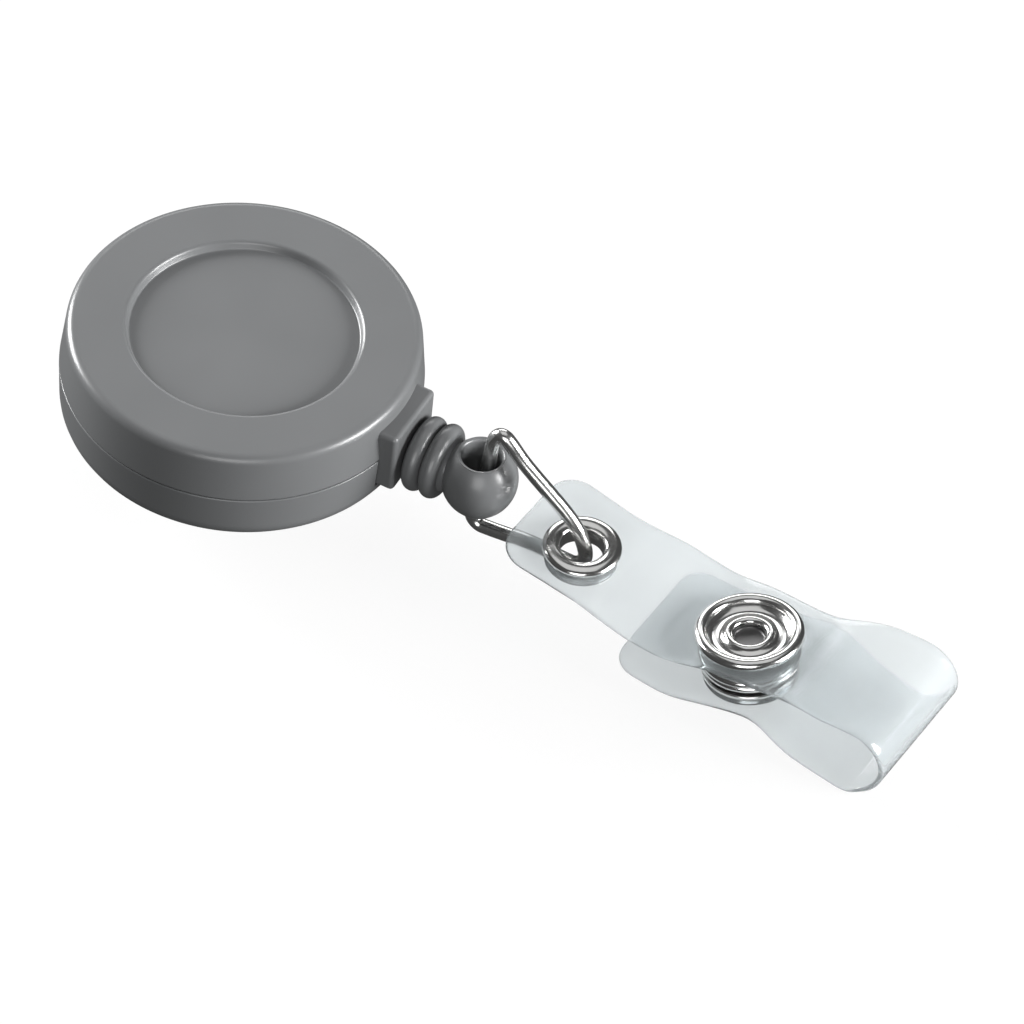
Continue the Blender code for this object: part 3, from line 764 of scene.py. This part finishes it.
def make_snap():
    """Cap and socket on the upper layer, and stud and flange on the lower."""
    axis = on_snap_axis()
    outline = [(0.0, 0.0004), (0.00125, 0.0004), *arc((0.00125, 0.00062), 0.00022, -60, 0, 5)]
    outline += [(0.0015, 0.00080), *arc((0.00193, 0.00095), 0.00043, 180, 30, 14, 0.00038)]
    outline += [(0.0026, 0.00098), (0.0029, 0.00092), (0.0032, 0.00093), (0.0035, 0.00104), (0.0038, 0.00130)]
    outline += arc((0.00438, 0.00130), 0.00059, 150, -95, 33, 0.00052)
    outline += [(0.0040, 0.00080), (0.00175, 0.00066), (0.00175, -0.00065), (0.0, -0.00065)]
    cap = coat(smooth(turned("snap_cap_ring", outline)), STEEL)
    # The dimple floor takes the dark metal: painted shade in the cap's hollow.
    cap.data.materials.append(DIMPLE_SHADE_STEEL)
    for face in cap.data.polygons:
        if face.center.xy.length < DIMPLE_RADIUS and 0.0 < face.center.z < DIMPLE_TOP:
            face.material_index = 1
    place(cap, axis @ Matrix.Rotation(-CAP_TILT, 4, "X"))
    ride(cap, "strap", "plated_steel", "snap_cap")
    outline = [(0.00205, -0.00055), (0.0043, -0.00055)]
    outline += arc((0.00427, -0.00093), 0.00038, 85, -65, 14)
    outline += arc((0.00415, -0.00162), 0.00038, 65, -90, 14)
    outline += [(0.0027, -0.00200), (0.0027, -0.00170), (0.0037, -0.00170), (0.0037, -0.00085)]
    outline.append((0.00205, -0.00085))
    socket = place(turned("snap_socket_ring", outline), axis)
    ride(coat(smooth(socket), STEEL), "strap", "plated_steel", "snap_socket")
    low = -SNAP_STACK + VINYL / 2
    outline = filleted([
        (0.0, -0.00115, 0.0), (0.0014, -0.00115, 0.0002), (0.00182, -0.00145, 0.00015),
        (0.00165, low + 0.00035, 0.0001), (0.0044, low + 0.00035, 0.00012), (0.0044, low, 0.0),
        (0.00145, low, 0.0), (0.00145, -0.00150, 0.0001), (0.0, -0.00145, 0.0)])
    stud = place(turned("snap_stud_ring", outline), axis)
    ride(coat(smooth(stud), STEEL), "strap_tab", "plated_steel", "snap_stud")
    top = -SNAP_STACK - VINYL / 2
    outline = filleted([
        (0.0, -0.0018, 0.0), (0.0011, -0.0018, 0.0001), (0.0011, top, 0.0), (0.0041, top, 0.0),
        (0.00435, top - 0.0003, 0.00018), (0.0040, top - 0.0006, 0.0001),
        (0.0015, top - 0.0008, 0.0003), (0.0, top - 0.0006, 0.0)])
    flange = place(turned("snap_back_flange", outline), axis)
    ride(coat(smooth(flange), STEEL), "strap_tab", "plated_steel", "stud_flange")


# ---------------------------------------------------------------- belt clip

def clip_fold(degrees):
    """Place on the middle line of the clip's round fold."""
    angle = math.radians(degrees)
    middle = level(-CLIP_GAP - CLIP_THICKNESS / 2 - CLIP_FOLD_RADIUS)
    return Vector((CLIP_FOLD_X + CLIP_FOLD_RADIUS * math.cos(angle), 0.0,
                   middle + CLIP_FOLD_RADIUS * math.sin(angle)))


def clip_strip(name, path, tip_first):
    """Spring strip with rounded corners at its tip."""
    along = path if tip_first else path[::-1]
    found, _ = stations(along, (CLIP_CORNER, 0.0001))
    middle_line = [spot for spot, _ in found]
    widths = [CLIP_HALF_WIDTH - rounded_end(distance, CLIP_CORNER) for _, distance in found]
    return strip(name, middle_line, widths, CLIP_THICKNESS, 12)


def make_clip():
    """Base plate, spring leaf and the rivet through them into the case's post."""
    flat = level(-CLIP_GAP - CLIP_THICKNESS / 2)
    path = [Vector((x, 0.0, flat)) for x in (CLIP_TIP_X, 0.0060, 0.0030, 0.0, -0.0040, -0.0080, CLIP_FOLD_X)]
    path += [clip_fold(angle) for angle in (108, 126, 144, 162, 179)]
    base = clip_strip("clip_base", smooth_path(path, 8), True)
    combine(base, [cutter("rivet_hole", POST_BORE, level(0.001), level(-0.003))])
    ride(coat(smooth(base, 40.0), CLIP_STEEL), "case", "plated_steel", "belt_clip_base")
    path = [clip_fold(angle) for angle in (181, 202, 220, 245, 270)]
    places = [(-0.0060, -0.00570), (0.0005, -0.00565), (0.0038, -0.0047), (0.0062, -0.0036)]
    places += [(0.0078, -0.0034), (CLIP_TIP_X, -0.0040)]
    path += [Vector((x, 0.0, level(height))) for x, height in places]
    leaf = clip_strip("clip_leaf", smooth_path(path, 8), False)
    ride(coat(smooth(leaf, 40.0), CLIP_STEEL), "clip_leaf", "spring_steel", "belt_clip_leaf")
    head = level(-2 * CLIP_GAP - CLIP_THICKNESS)
    outline = filleted([
        (0.0, level(0.0045), 0.0), (0.00115, level(0.0045), 0.0002), (0.00115, head, 0.0),
        (0.0026, head, 0.0001), (0.0024, head - 0.0004, 0.0004), (0.0, head - 0.0006, 0.0)], 6)
    rivet = turned("clip_rivet_head", outline, 64)
    ride(coat(smooth(rivet), CLIP_STEEL), "case", "plated_steel", "clip_rivet")


# ---------------------------------------------------------------- camera, floor and light

def make_camera():
    """The photograph's view: turned about the object, raised, and rolled a little."""
    azimuth, elevation, roll = CAMERA_AZIMUTH, CAMERA_ELEVATION, CAMERA_ROLL
    right = Vector((math.cos(azimuth), math.sin(azimuth), 0.0))
    back = Vector((math.sin(azimuth) * math.cos(elevation), -math.cos(azimuth) * math.cos(elevation),
                   math.sin(elevation)))
    up = back.cross(right)
    turned_right = right * math.cos(roll) + up * math.sin(roll)
    turned_up = up * math.cos(roll) - right * math.sin(roll)
    data = bpy.data.cameras.new("camera")
    data.lens = LENS
    data.sensor_width = 36.0
    data.clip_start = 0.05
    data.clip_end = 10.0
    camera = bpy.data.objects.new("camera", data)
    bpy.context.scene.collection.objects.link(camera)
    matrix = Matrix((turned_right, turned_up, back)).transposed().to_4x4()
    matrix.translation = (back * CAMERA_DISTANCE + turned_right * CAMERA_RIGHT + turned_up * CAMERA_UP
                          + Vector((0.0, 0.0, BACK_Z)))
    camera.matrix_world = matrix
    bpy.context.scene.camera = camera


def make_floor():
    """A glowing white ground that lights and mirrors nothing, as in a cut-out catalogue picture."""
    shape = bmesh.new()
    size, height = 3.0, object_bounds()[0].z - 0.0001
    shape.faces.new([shape.verts.new((x, y, height)) for x, y in
                     ((-size, -size), (size, -size), (size, size), (-size, size))])
    floor = new_object("floor", shape)
    nodes = Nodes("pale_floor")
    nodes.set(Base_Color=(0.05, 0.05, 0.05, 1.0), Roughness=0.9, Emission_Color=(1.0, 1.0, 1.0, 1.0),
              Emission_Strength=0.92)
    coat(floor, nodes.material)
    floor.visible_diffuse = False
    floor.visible_glossy = False


def make_light(name, place_at, target, size, power, tall=None):
    """A white softbox turned to a target, square unless its height is given."""
    data = bpy.data.lights.new(name, "AREA")
    data.shape = "RECTANGLE"
    data.size = size
    data.size_y = tall or size
    data.energy = power
    light = bpy.data.objects.new(name, data)
    bpy.context.scene.collection.objects.link(light)
    light.location = place_at
    light.rotation_euler = (Vector(target) - Vector(place_at)).to_track_quat("-Z", "Y").to_euler()


def make_world(strength):
    world = bpy.data.worlds.new("studio")
    bpy.context.scene.world = world
    world.use_nodes = True
    background = world.node_tree.nodes["Background"]
    background.inputs["Color"].default_value = (1.0, 1.0, 1.0, 1.0)
    background.inputs["Strength"].default_value = strength


make_camera()
make_front_case()
make_rear_case()
make_cord_end()
make_link()
make_cord()
make_strap()
make_eyelet()
make_snap()
make_clip()

for material, nodes in ((WHITE, ("spool", "spring_cover")), (SPRING, ("mainspring", "socket_spring")),
                        (CORD, ("cord_wound", "cord_run"))):
    for node in nodes:
        coat(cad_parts[node], material)

make_floor()
make_light("right", (0.66, 0.12, 0.20), (0.02, 0.0, 0.0), 0.36, 9.6, tall=0.30)
make_light("left", (-0.66, 0.10, 0.20), (0.0, 0.0, 0.0), 0.36, 10.5, tall=0.30)
make_light("overhead", (-0.05, 0.10, 0.80), (0.02, 0.0, 0.0), 0.7, 1.0)
make_light("behind", (-0.30, 0.66, 0.34), (0.02, 0.0, 0.0), 0.55, 1.5, tall=0.25)
make_light("front", (0.28, -0.70, 0.28), (0.02, 0.0, 0.0), 0.45, 2.6)
make_world(0.06)
bpy.context.scene.view_settings.view_transform = "Standard"
